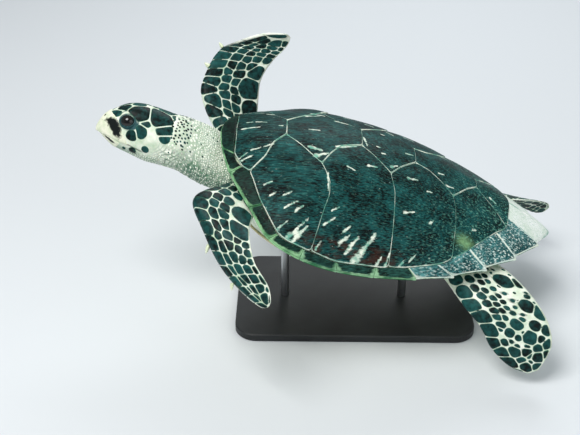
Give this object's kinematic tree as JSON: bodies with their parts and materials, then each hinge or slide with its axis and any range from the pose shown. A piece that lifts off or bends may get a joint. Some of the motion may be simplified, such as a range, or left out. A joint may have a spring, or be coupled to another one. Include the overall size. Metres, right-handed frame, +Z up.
{
  "type": "hawksbill sea turtle",
  "caption": "Life-size still model of a swimming hawksbill sea turtle, head up and front flippers spread, held over a flat base by short rods.",
  "frame": {"origin": "centre of the underside of the stand's base, on the surface that it stands on", "axes": "+Z up, +X towards the tail along the body, so the head points to -X; +Y is the turtle's right side"},
  "size_m": [0.8898, 0.6566, 0.4528],
  "materials": {
    "scaly_skin": "dark smooth scales with pale cream seams",
    "soft_skin": "pale fine-grained skin with small dark granules",
    "beak": "pale horn with a dark smudge at the side",
    "eye": "wet black",
    "claw": "pale horn",
    "plastron": "satin yellow-cream horn",
    "scute": "satin dark horn with pale streaks and pale seams",
    "rim_scute": "satin dark horn, mottled grey-green towards the tail",
    "pale_scute": "worn pale horn",
    "stand_base": "satin black paint",
    "stand_rod": "brushed"
  },
  "bodies": {
    "root": {"head": "scaly_skin", "beak_upper": "beak", "beak_lower": "beak", "eye_left": "eye", "eye_right": "eye", "neck": "soft_skin", "trunk": "soft_skin", "tail": "scaly_skin", "plastron": "plastron", "front_flipper_left": "scaly_skin", "front_flipper_right": "scaly_skin", "hind_flipper_left": "scaly_skin", "hind_flipper_right": "scaly_skin", "front_claw_left_1": "claw", "front_claw_left_2": "claw", "front_claw_right_1": "claw", "front_claw_right_2": "claw", "nuchal": "rim_scute", "vertebral_1": "scute", "vertebral_2": "scute", "vertebral_3": "scute", "vertebral_4": "scute", "vertebral_5": "scute", "costal_left_1": "scute", "costal_left_2": "scute", "costal_left_3": "scute", "costal_left_4": "scute", "marginal_left_1": "rim_scute", "marginal_left_2": "rim_scute", "marginal_left_3": "rim_scute", "marginal_left_4": "rim_scute", "marginal_left_5": "rim_scute", "marginal_left_6": "rim_scute", "marginal_left_7": "rim_scute", "marginal_left_8": "rim_scute", "marginal_left_9": "rim_scute", "marginal_left_10": "rim_scute", "marginal_left_11": "rim_scute", "supracaudal_left": "pale_scute", "costal_right_1": "scute", "costal_right_2": "scute", "costal_right_3": "scute", "costal_right_4": "scute", "marginal_right_1": "rim_scute", "marginal_right_2": "rim_scute", "marginal_right_3": "rim_scute", "marginal_right_4": "rim_scute", "marginal_right_5": "rim_scute", "marginal_right_6": "rim_scute", "marginal_right_7": "rim_scute", "marginal_right_8": "rim_scute", "marginal_right_9": "rim_scute", "marginal_right_10": "rim_scute", "marginal_right_11": "rim_scute", "supracaudal_right": "pale_scute", "stand_base": "stand_base", "stand_rod_front": "stand_rod", "stand_rod_rear": "stand_rod"}
  },
  "joints": []
}
